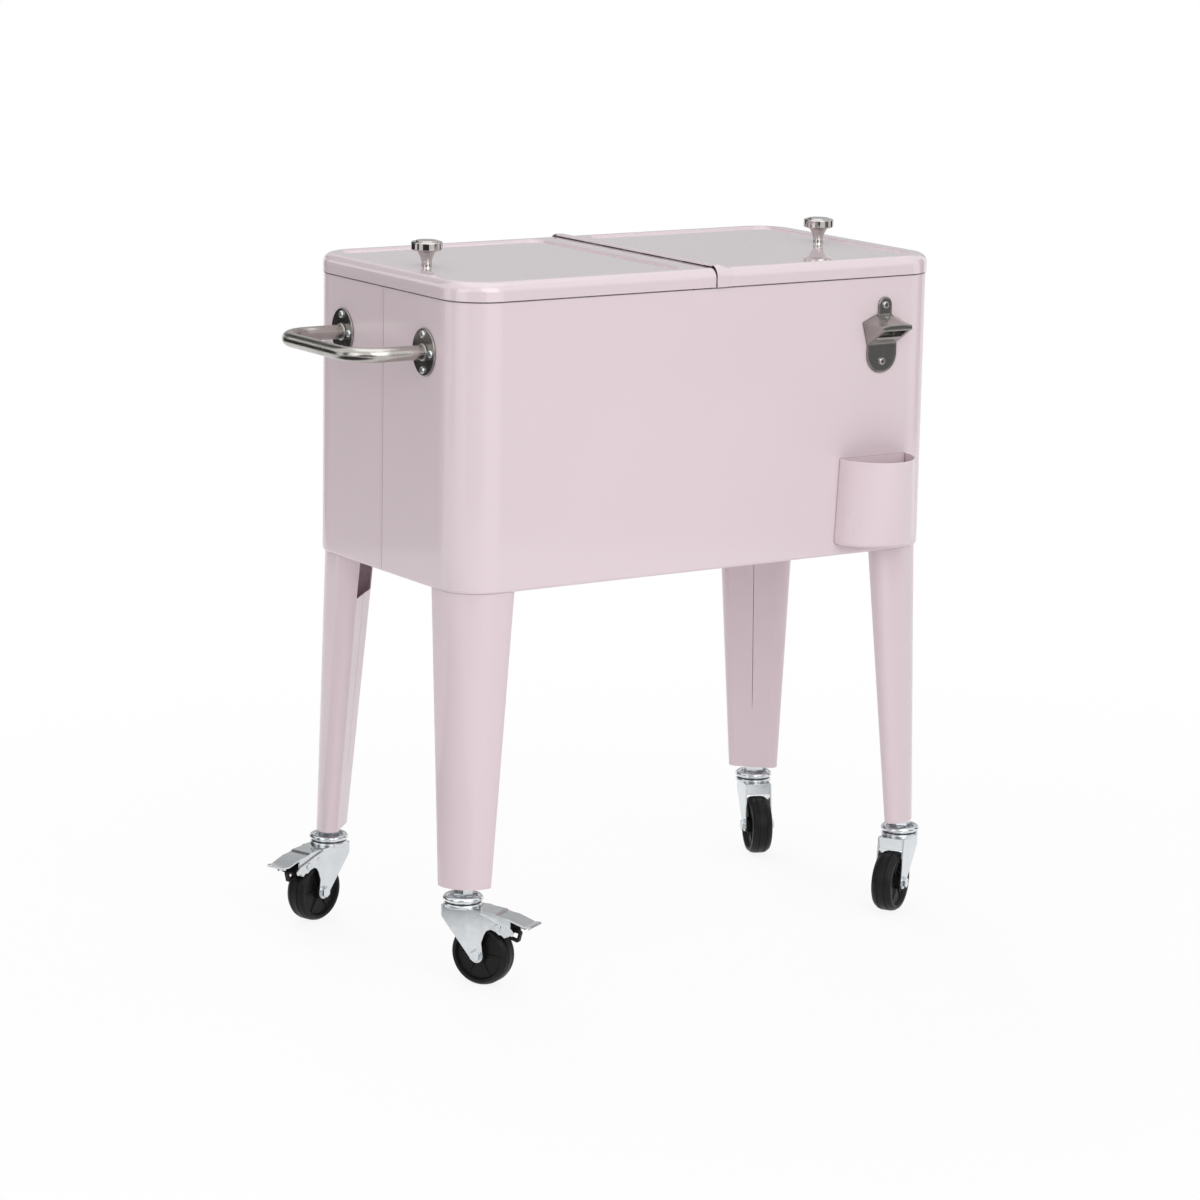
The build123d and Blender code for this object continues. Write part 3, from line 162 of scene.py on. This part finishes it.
class Shader:
    """A material under construction: it adds nodes and joins them to the Principled shader."""

    def __init__(self, name):
        self.material = bpy.data.materials.new(name)
        self.material.use_nodes = True
        self.tree = self.material.node_tree
        self.surface = self.tree.nodes["Principled BSDF"]
        self.place = self.add("ShaderNodeTexCoord").outputs["Object"]

    def add(self, kind, settings=None, **sockets):
        node = self.tree.nodes.new(kind)
        for key, value in (settings or {}).items():
            setattr(node, key, value)
        for key, value in sockets.items():
            self.feed(node.inputs[key.replace("_", " ")], value)
        return node

    def feed(self, socket, value):
        if isinstance(value, bpy.types.NodeSocket):
            self.tree.links.new(value, socket)
        else:
            socket.default_value = value

    def fixed(self, **sockets):
        for key, value in sockets.items():
            self.surface.inputs[key.replace("_", " ")].default_value = value

    def stretched(self, scale):
        return self.add("ShaderNodeMapping", Vector=self.place, Scale=scale).outputs["Vector"]

    def noise(self, scale, detail=3.0, roughness=0.5, vector=None):
        node = self.add("ShaderNodeTexNoise", Scale=scale, Detail=detail, Roughness=roughness,
                        Vector=vector or self.place)
        return node.outputs["Fac"]

    def cells(self, scale):
        return self.add("ShaderNodeTexVoronoi", Scale=scale, Vector=self.place).outputs["Distance"]

    def spread(self, value, source, target):
        """Maps one range of values onto another and stops at its ends."""
        node = self.add("ShaderNodeMapRange", Value=value, From_Min=source[0], From_Max=source[1],
                        To_Min=target[0], To_Max=target[1])
        return node.outputs["Result"]

    def share(self, value, source):
        """0 at the first value of a range and 1 at the second."""
        return self.spread(value, source, (0.0, 1.0))

    def mixed(self, share, first, second):
        node = self.add("ShaderNodeMix", {"data_type": "RGBA"})
        for socket, value in zip((node.inputs[0], node.inputs[6], node.inputs[7]), (share, first, second)):
            self.feed(socket, value)
        return node.outputs[2]

    def maths(self, kind, first, second):
        node = self.add("ShaderNodeMath", {"operation": kind})
        self.feed(node.inputs[0], first)
        self.feed(node.inputs[1], second)
        return node.outputs[0]

    def two_tone(self, share, tints):
        """Runs from one tint to another by a share."""
        return self.mixed(share, rgb(*tints[0]), rgb(*tints[1]))

    def laid(self, colour, mask, strength, tint):
        """Lays a tint over a colour where the mask is near 1."""
        return self.mixed(self.maths("MULTIPLY", mask, strength), colour, rgb(*tint))

    def edges(self, reach):
        """Near 1 on outer edges and 0 on flat faces."""
        node = self.add("ShaderNodeAmbientOcclusion", {"inside": True, "samples": 6}, Distance=reach)
        return self.share(node.outputs["AO"], EDGE_FADE)

    def corners(self, reach):
        """Near 1 in creases, where the finishes lay their painted shade, and 0 elsewhere."""
        node = self.add("ShaderNodeAmbientOcclusion", {"samples": 6, "only_local": True}, Distance=reach)
        return self.share(node.outputs["AO"], CREASE_FADE)

    def joints(self, reach):
        """Near 1 where another piece lies close, as along a seam, and 0 elsewhere."""
        node = self.add("ShaderNodeAmbientOcclusion", {"samples": 8}, Distance=reach)
        return self.share(node.outputs["AO"], JOINT_FADE)

    def rounded(self, radius):
        """A normal that softens the sharp edges of a stamped or machined piece."""
        return self.add("ShaderNodeBevel", {"samples": 4}, Radius=radius).outputs["Normal"]

    def bump(self, height, strength, depth, before=None):
        node = self.add("ShaderNodeBump", Height=height, Strength=strength, Distance=depth)
        if before is not None:
            self.feed(node.inputs["Normal"], before)
        return node.outputs["Normal"]

    def finish(self, colour, roughness, normal):
        for name, value in (("Base Color", colour), ("Roughness", roughness), ("Normal", normal)):
            self.feed(self.surface.inputs[name], value)
        return self.material


def rgb(red, green, blue):
    return (red, green, blue, 1.0)


def enamel(name, tint, rough, coat, coat_rough, peel, crease_shade):
    """Glossy powder coat: a soft mottle, fine orange peel, painted shade in creases and along seams, and thin
    edges.
    """
    s = Shader(name)
    cloud = s.noise(2.6, 2.0)
    grain = s.noise(420.0, 2.0)
    deep = tuple(channel * DEEP_PAINT for channel in tint)
    colour = s.two_tone(s.share(cloud, (0.35, 0.65)), (tint, deep))
    # painted shade: a darker pink laid into the creases, where shade falls
    colour = s.laid(colour, s.corners(10.0 * MM), crease_shade, PAINT_CREASE_SHADE)
    # painted shade: a dark brown laid along the joints, where other pieces lie close and shade falls
    colour = s.laid(colour, s.joints(3.5 * MM), 0.75, PAINT_JOINT_SHADE)
    colour = s.laid(colour, s.edges(1.6 * MM), 0.16, PAINT_EDGE)
    waves = s.bump(s.noise(190.0, 2.0, 0.4), peel, 0.6 * MM)
    normal = s.bump(grain, peel / 2, FINE_DEPTH, waves)
    s.fixed(Coat_Weight=coat, Coat_Roughness=coat_rough, IOR=1.5)
    return s.finish(colour, s.spread(s.noise(9.0, 4.0, 0.6), MID_NOISE, rough), normal)


def zinc_plate():
    """Bright zinc: bluish clouds, fine drawing lines and painted shade in the creases."""
    s = Shader("bright_zinc")
    cloud = s.noise(38.0, 3.0, 0.5)
    colour = s.two_tone(s.share(cloud, MID_NOISE), ZINC)
    # painted shade: a dark grey laid into the creases
    colour = s.laid(colour, s.corners(4.0 * MM), 0.55, ZINC_CREASE_SHADE)
    rough = s.spread(s.noise(140.0, 3.0, 0.6), MID_NOISE, (0.16, 0.24))
    lines = s.noise(900.0, 2.0, 0.5, s.stretched((1.0, 1.0, 0.08)))
    clouded = s.bump(cloud, 0.03, 0.4 * MM, s.rounded(0.7 * MM))
    s.fixed(Metallic=1.0)
    return s.finish(colour, rough, s.bump(lines, 0.04, FINE_DEPTH, clouded))


def steel(name, tints, rough, grain, strength, fold=0.8 * MM):
    """Stainless steel with a directional grain, smudges and painted shade in its creases."""
    s = Shader(name)
    smudge = s.noise(35.0, 4.0, 0.55)
    colour = s.two_tone(s.share(smudge, MID_NOISE), tints)
    # painted shade: a near-black laid into the creases
    colour = s.laid(colour, s.corners(3.0 * MM), 0.6, STEEL_CREASE_SHADE)
    lines = s.noise(1100.0, 2.0, 0.6, s.stretched(grain))
    smears = s.spread(smudge, MID_NOISE, rough)
    scratches = s.spread(lines, MID_NOISE, (0.0, 0.05))
    s.fixed(Metallic=1.0)
    normal = s.bump(lines, strength, FINE_DEPTH, s.rounded(fold))
    return s.finish(colour, s.maths("ADD", smears, scratches), normal)


def polished_chrome():
    """Polished chrome with faint finger marks and painted shade where pieces meet."""
    s = Shader("polished_chrome")
    marks = s.noise(240.0, 3.0, 0.6)
    # painted shade: a near-black laid where pieces meet
    colour = s.laid(rgb(*CHROME), s.corners(2.0 * MM), 0.7, CHROME_CREASE_SHADE)
    rough = s.spread(marks, (0.35, 0.7), (0.03, 0.11))
    s.fixed(Metallic=1.0)
    return s.finish(colour, rough, s.bump(s.noise(90.0, 2.0), 0.03, 0.3 * MM, s.rounded(0.6 * MM)))


def moulded_black(name, tints, rough, strength):
    """Black moulded plastic: a fine spark texture, scuffs and a pale dusting on its raised and rubbed parts.
    """
    s = Shader(name)
    scuff = s.noise(70.0, 5.0, 0.7)
    colour = s.two_tone(s.spread(scuff, (0.55, 0.85), (0.0, 0.5)), tints)
    colour = s.laid(colour, s.edges(1.2 * MM), 0.30, RUBBED_BLACK)
    scuffed = s.bump(scuff, 0.10, 0.4 * MM, s.rounded(0.5 * MM))
    normal = s.bump(s.cells(1400.0), strength, FINE_DEPTH, scuffed)
    s.fixed(Specular_IOR_Level=0.22)
    return s.finish(colour, s.spread(s.noise(320.0, 3.0), MID_NOISE, rough), normal)


def moulded_white():
    """The food-safe liner: satin white plastic with faint flow marks, scuffs and painted grey shade in its
    creases.
    """
    s = Shader("liner_plastic")
    flow = s.noise(7.0, 3.0, 0.6, s.stretched((1.0, 1.0, 3.0)))
    colour = s.two_tone(s.share(flow, (0.35, 0.65)), LINER)
    # painted shade: a mid grey laid into the corners and creases
    colour = s.laid(colour, s.corners(30.0 * MM), 0.30, LINER_CREASE_SHADE)
    rough = s.spread(s.noise(160.0, 4.0, 0.6), MID_NOISE, (0.30, 0.44))
    s.fixed(Subsurface_Weight=0.05, Subsurface_Scale=0.01)
    return s.finish(colour, rough, s.bump(s.noise(600.0, 2.0), 0.10, FINE_DEPTH))


def foam_cells():
    """Cut polyurethane foam: small open cells and a yellowing skin."""
    s = Shader("insulation_foam")
    bubbles = s.cells(700.0)
    colour = s.two_tone(s.share(bubbles, (0.1, 0.6)), FOAM)
    rough = s.spread(bubbles, (0.0, 0.6), (0.75, 0.95))
    return s.finish(colour, rough, s.bump(bubbles, 0.6, 0.6 * MM))


def soft_rubber():
    """Matte rubber with a chalky bloom."""
    s = Shader("seal_rubber")
    bloom = s.noise(110.0, 5.0, 0.7)
    colour = s.two_tone(s.share(bloom, (0.4, 0.75)), RUBBER)
    rough = s.spread(bloom, MID_NOISE, (0.62, 0.82))
    return s.finish(colour, rough, s.bump(s.noise(500.0, 3.0), 0.25, FINE_DEPTH))


FINISHES = {
    "body_paint": enamel("body_enamel", PINK, rough=(0.30, 0.42), coat=0.55, coat_rough=0.06, peel=0.10,
                         crease_shade=0.16),
    "lid_paint": enamel("lid_enamel", PINK, rough=(0.16, 0.24), coat=1.0, coat_rough=0.025, peel=0.035,
                        crease_shade=0.08),
    "zinc": zinc_plate(),
    "stainless": steel("stamped_stainless", STAMPED, (0.14, 0.24), UPRIGHT_GRAIN, 0.06),
    "pressed": steel("pressed_stainless", STAMPED, (0.12, 0.20), UPRIGHT_GRAIN, 0.05, fold=3.2 * MM),
    "chrome": polished_chrome(),
    "bar_steel": steel("brushed_bar", BAR, (0.16, 0.26), BAR_GRAIN, 0.08),
    "black_plastic": moulded_black("brake_plastic", PAD_BLACK, (0.38, 0.55), 0.12),
    "wheel_black": moulded_black("wheel_plastic", WHEEL_BLACK, (0.34, 0.52), 0.10),
    "liner_white": moulded_white(),
    "foam": foam_cells(),
    "rubber": soft_rubber(),
}

# Which finish each CAD node takes, by the first name that fits
NODE_FINISHES = (
    ("shell", "body_paint"), ("bottom_pan", "body_paint"), ("_leg", "body_paint"),
    ("cap_catcher", "body_paint"),
    ("lid_skin", "lid_paint"), ("lid_liner", "liner_white"), ("inner_liner", "liner_white"),
    ("lid_foam", "foam"), ("foam_core", "foam"), ("gasket", "rubber"),
    ("knob_screw", "zinc"), ("_knob", "chrome"),
    ("brake_pad", "black_plastic"), ("wheel", "wheel_black"),
    ("handle_screws", "zinc"), ("front_screws", "chrome"), ("handle_plates", "stainless"),
    ("_handle", "bar_steel"), ("bottle_opener", "pressed"), ("drain_cap", "black_plastic"),
    ("drain", "liner_white"), ("centre_crossbar", "stainless"), ("hinge_pin", "stainless"),
    ("", "zinc"),
)


def finish_of(node_name):
    return next(slot for part, slot in NODE_FINISHES if part in node_name)


def linked(obj):
    bpy.context.scene.collection.objects.link(obj)
    return obj


def direction(azimuth, elevation):
    """The unit vector towards an azimuth from the front and an elevation, both in degrees."""
    a, e = radians(azimuth), radians(elevation)
    return Vector((sin(a) * cos(e), -cos(a) * cos(e), sin(e)))


def dress_nodes():
    """Gives every CAD node its material."""
    for name, node in NODES.items():
        node.data.materials.clear()
        node.data.materials.append(FINISHES[finish_of(name)])


def piece(name, mesh, body, slot):
    """Makes a finished piece of the object from a bmesh, riding on a body."""
    bmesh.ops.recalc_face_normals(mesh, faces=mesh.faces)
    data = bpy.data.meshes.new(name)
    mesh.to_mesh(data)
    mesh.free()
    data.materials.append(FINISHES[slot])
    made = linked(bpy.data.objects.new(name, data))
    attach(made, body)
    return made


def smooth(obj, angle=35.0):
    """Smooth shading that keeps edges sharper than an angle."""
    for polygon in obj.data.polygons:
        polygon.use_smooth = True
    obj.data.set_sharp_from_angle(angle=radians(angle))
    return obj


def facing(point, way):
    """A place whose Z runs a given way."""
    turn = Vector(way).to_track_quat("Z", "Y").to_matrix().to_4x4()
    return Matrix.Translation(point) @ turn


def ring_mesh(mesh, place, profile, steps, wave=None):
    """Spins a closed profile of (radius, height) about the place's Z; wave(angle) adds to its radius."""
    rows = []
    for step in range(steps):
        angle = 2 * pi * step / steps
        push = wave(angle) if wave else 0.0
        row = []
        for radius, height in profile:
            spot = Vector(((radius + push) * cos(angle), (radius + push) * sin(angle), height))
            row.append(mesh.verts.new(place @ spot))
        rows.append(row)
    count = len(profile)
    for step in range(steps):
        here, there = rows[step], rows[(step + 1) % steps]
        for index in range(count):
            after = (index + 1) % count
            mesh.faces.new((here[index], here[after], there[after], there[index]))


def middle(name):
    """The middle of a node's box."""
    low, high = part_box(name)
    return (low + high) / 2


def caster_place(corner):
    """The caster's own frame at the floor under its stem, with X the way its wheel trails."""
    stem = middle(corner + "_stem")
    run = middle(corner + "_wheel") - stem
    ahead = Vector((run.x, run.y, 0.0)).normalized()
    turn = Matrix((ahead, Vector((-ahead.y, ahead.x, 0.0)), Vector((0.0, 0.0, 1.0)))).transposed()
    return Matrix.Translation((stem.x, stem.y, 0.0)) @ turn.to_4x4()


def wheel_ribs(corner):
    """The low moulded ribs on both sides of a wheel's web."""
    turn = caster_place(corner).to_3x3().to_4x4()
    hub = Matrix.Translation(middle(corner + "_wheel")) @ turn
    mesh = bmesh.new()
    for way in (-1, 1):
        place = hub @ Matrix.Rotation(-way * pi / 2, 4, "X")
        for index in range(WHEEL_RIBS):
            spin = Matrix.Rotation(2 * pi * index / WHEEL_RIBS, 4, "Z")
            corners = []
            for radius, half, top in zip(RIB_REACH, RIB_HALVES, RIB_TOPS):
                heights = (WHEEL_WEB - RIB_SINK, top - RIB_SHOULDER, top)
                for height, share in zip(heights, RIB_SHARES):
                    for side in (-1, 1):
                        spot = Vector((radius, side * half * share, height))
                        corners.append(mesh.verts.new(place @ spin @ spot))
            first, second = corners[:6], corners[6:]
            loop = (0, 2, 4, 5, 3, 1)
            mesh.faces.new([first[i] for i in loop])
            mesh.faces.new([second[i] for i in reversed(loop)])
            for a, b in zip(loop, loop[1:] + loop[:1]):
                mesh.faces.new((first[a], first[b], second[b], second[a]))
    return smooth(piece(corner + "_wheel_ribs", mesh, corner + "_wheel", "wheel_black"))


def weld_beads():
    """The rippled weld round each foot of the handle where it meets its plate."""
    low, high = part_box("left_handle")
    mesh = bmesh.new()
    for foot in (low.y + TUBE_RADIUS, high.y - TUBE_RADIUS):
        place = facing(Vector((high.x, foot, (low.z + high.z) / 2)), (-1, 0, 0))
        bead = []
        for step in range(BEAD_STEPS + 1):
            angle = pi * step / BEAD_STEPS
            out = BEAD_INNER + BEAD_SWELL * sin(angle)
            bead.append((out, BEAD_BASE + BEAD_RISE * (1 - cos(angle))))
        bead.append(BEAD_BACK)
        ring_mesh(mesh, place, bead, BEAD_ROUND, lambda angle: BEAD_RIPPLE * sin(BEAD_RIPPLES * angle))
    return smooth(piece("left_handle_welds", mesh, "cooler_body", "bar_steel"), angle=60.0)


def gap_shade_ring(corner):
    """A dark ring of painted shade that fills the gap between a caster's dish and its lower race."""
    mesh = bmesh.new()
    low, high = RACE_TOP + SHADE_RING_GAP, DISH_LOW - SHADE_RING_GAP
    edge = SHADE_RING_OUTER - SHADE_RING_LIP
    profile = ((SHADE_RING_INNER, low), (edge, low), (SHADE_RING_OUTER, low + SHADE_RING_LIP),
               (SHADE_RING_OUTER, high - SHADE_RING_LIP), (edge, high), (SHADE_RING_INNER, high))
    ring_mesh(mesh, caster_place(corner), profile, SHADE_RING_STEPS)
    # painted shade: a dark rubber ring put in the gap, where there is only shade
    return smooth(piece(corner + "_gap_shade", mesh, corner + "_caster", "rubber"))


def softbox(name, azimuth, elevation, distance, size, watts, reflected):
    """A square lamp turned to the object."""
    back = direction(azimuth, elevation)
    light = bpy.data.lights.new(name, "AREA")
    light.shape = "SQUARE"
    light.size = size
    light.energy = watts
    lamp = linked(bpy.data.objects.new(name, light))
    lamp.matrix_world = facing(VIEW_TARGET + back * distance, back)
    lamp.visible_glossy = reflected


def plain_material(name):
    """A material with no nodes in it yet, and its node tree."""
    material = bpy.data.materials.new(name)
    material.use_nodes = True
    material.node_tree.nodes.clear()
    return material, material.node_tree


def seen_share(tree):
    """1 for camera, glossy and transmission rays, and 0 for the rays that light the object."""
    path = tree.nodes.new("ShaderNodeLightPath")
    total = path.outputs["Is Camera Ray"]
    for name in ("Is Glossy Ray", "Is Transmission Ray"):
        node = tree.nodes.new("ShaderNodeMath")
        node.operation = "MAXIMUM"
        tree.links.new(total, node.inputs[0])
        tree.links.new(path.outputs[name], node.inputs[1])
        total = node.outputs[0]
    return total


def make_world():
    """White where it is seen, straight or in a reflection, and a soft grey fill for the object."""
    world = bpy.data.worlds.new("studio")
    bpy.context.scene.world = world
    world.use_nodes = True
    tree = world.node_tree
    fill = tree.nodes["Background"]
    fill.inputs["Color"].default_value = rgb(*WORLD_TINT)
    fill.inputs["Strength"].default_value = WORLD_FILL
    white = tree.nodes.new("ShaderNodeBackground")
    white.inputs["Color"].default_value = rgb(*WHITE)
    white.inputs["Strength"].default_value = 1.0
    mix = tree.nodes.new("ShaderNodeMixShader")
    tree.links.new(seen_share(tree), mix.inputs[0])
    tree.links.new(fill.outputs[0], mix.inputs[1])
    tree.links.new(white.outputs[0], mix.inputs[2])
    tree.links.new(mix.outputs[0], tree.nodes["World Output"].inputs["Surface"])


def make_floor():
    """A plain pale floor that keeps a soft shadow and is seen as white."""
    material, tree = plain_material("studio_floor")
    base = tree.nodes.new("ShaderNodeBsdfDiffuse")
    base.inputs["Color"].default_value = rgb(*FLOOR_GREY)
    glow = tree.nodes.new("ShaderNodeEmission")
    glow.inputs["Color"].default_value = rgb(*WHITE)
    glow.inputs["Strength"].default_value = 1.0
    place = tree.nodes.new("ShaderNodeTexCoord")
    away = tree.nodes.new("ShaderNodeVectorMath")
    away.operation = "DISTANCE"
    away.inputs[1].default_value = (BODY_X, BODY_Y, 0.0)
    fade = tree.nodes.new("ShaderNodeMapRange")
    fade.interpolation_type = "SMOOTHSTEP"
    for name, value in zip(("From Min", "From Max", "To Min", "To Max"), (*FLOOR_FADE, FLOOR_GLOW, 1.0)):
        fade.inputs[name].default_value = value
    tree.links.new(place.outputs["Object"], away.inputs[0])
    tree.links.new(away.outputs["Value"], fade.inputs["Value"])
    share = tree.nodes.new("ShaderNodeMath")
    share.operation = "MULTIPLY"
    tree.links.new(fade.outputs["Result"], share.inputs[1])
    mix = tree.nodes.new("ShaderNodeMixShader")
    out = tree.nodes.new("ShaderNodeOutputMaterial")
    tree.links.new(seen_share(tree), share.inputs[0])
    tree.links.new(share.outputs[0], mix.inputs[0])
    tree.links.new(base.outputs[0], mix.inputs[1])
    tree.links.new(glow.outputs[0], mix.inputs[2])
    tree.links.new(mix.outputs[0], out.inputs["Surface"])
    data = bpy.data.meshes.new("floor")
    ends = (-FLOOR_HALF, FLOOR_HALF)
    spots = [(x, y, 0.0) for x in ends for y in ends]
    data.from_pydata(spots, [], [(0, 1, 3, 2)])
    data.materials.append(material)
    floor = linked(bpy.data.objects.new("floor", data))


def make_card(name, azimuth, elevation, distance, width, height, brightness):
    """A grey card that only reflections see, for contrast in the polished metal and on the lids."""
    material, tree = plain_material(name + "_felt")
    felt = tree.nodes.new("ShaderNodeEmission")
    felt.inputs["Color"].default_value = rgb(brightness, brightness, brightness)
    out = tree.nodes.new("ShaderNodeOutputMaterial")
    tree.links.new(felt.outputs[0], out.inputs["Surface"])
    data = bpy.data.meshes.new(name)
    half_w, half_h = width / 2, height / 2
    spots = [(-half_w, -half_h, 0), (half_w, -half_h, 0), (half_w, half_h, 0), (-half_w, half_h, 0)]
    data.from_pydata(spots, [], [(0, 1, 2, 3)])
    data.materials.append(material)
    card = linked(bpy.data.objects.new(name, data))
    if elevation < 0:
        away = direction(azimuth, 0.0) * distance
        spot = (BODY_X + away.x, BODY_Y + away.y, FLOOR_CARD_HEIGHT)
        card.matrix_world = Matrix.Translation(spot)
    else:
        back = direction(azimuth, elevation)
        card.matrix_world = facing(VIEW_TARGET + back * distance, -back)
    card.visible_camera = card.visible_diffuse = False
    card.visible_shadow = card.visible_transmission = False


def make_camera():
    """The photograph's viewpoint."""
    a, roll = radians(VIEW_AZIMUTH), radians(VIEW_ROLL)
    back = direction(VIEW_AZIMUTH, VIEW_ELEVATION)
    right = Vector((cos(a), sin(a), 0.0))
    up = back.cross(right)
    data = bpy.data.cameras.new("photo_camera")
    data.lens = LENS
    data.sensor_width = SENSOR
    data.shift_x, data.shift_y = SHIFT
    camera = linked(bpy.data.objects.new("photo_camera", data))
    turn = Matrix((right * cos(roll) + up * sin(roll), up * cos(roll) - right * sin(roll), back)).transposed()
    camera.matrix_world = Matrix.Translation(VIEW_TARGET + back * VIEW_DISTANCE) @ turn.to_4x4()
    bpy.context.scene.camera = camera


bpy.context.scene.view_settings.view_transform = "Standard"
make_camera()
make_world()
make_floor()
for lamp in LAMPS:
    softbox(*lamp)
for card in CARDS:
    make_card(*card)
dress_nodes()
for caster_corner in CORNERS:
    wheel_ribs(caster_corner)
    gap_shade_ring(caster_corner)
weld_beads()
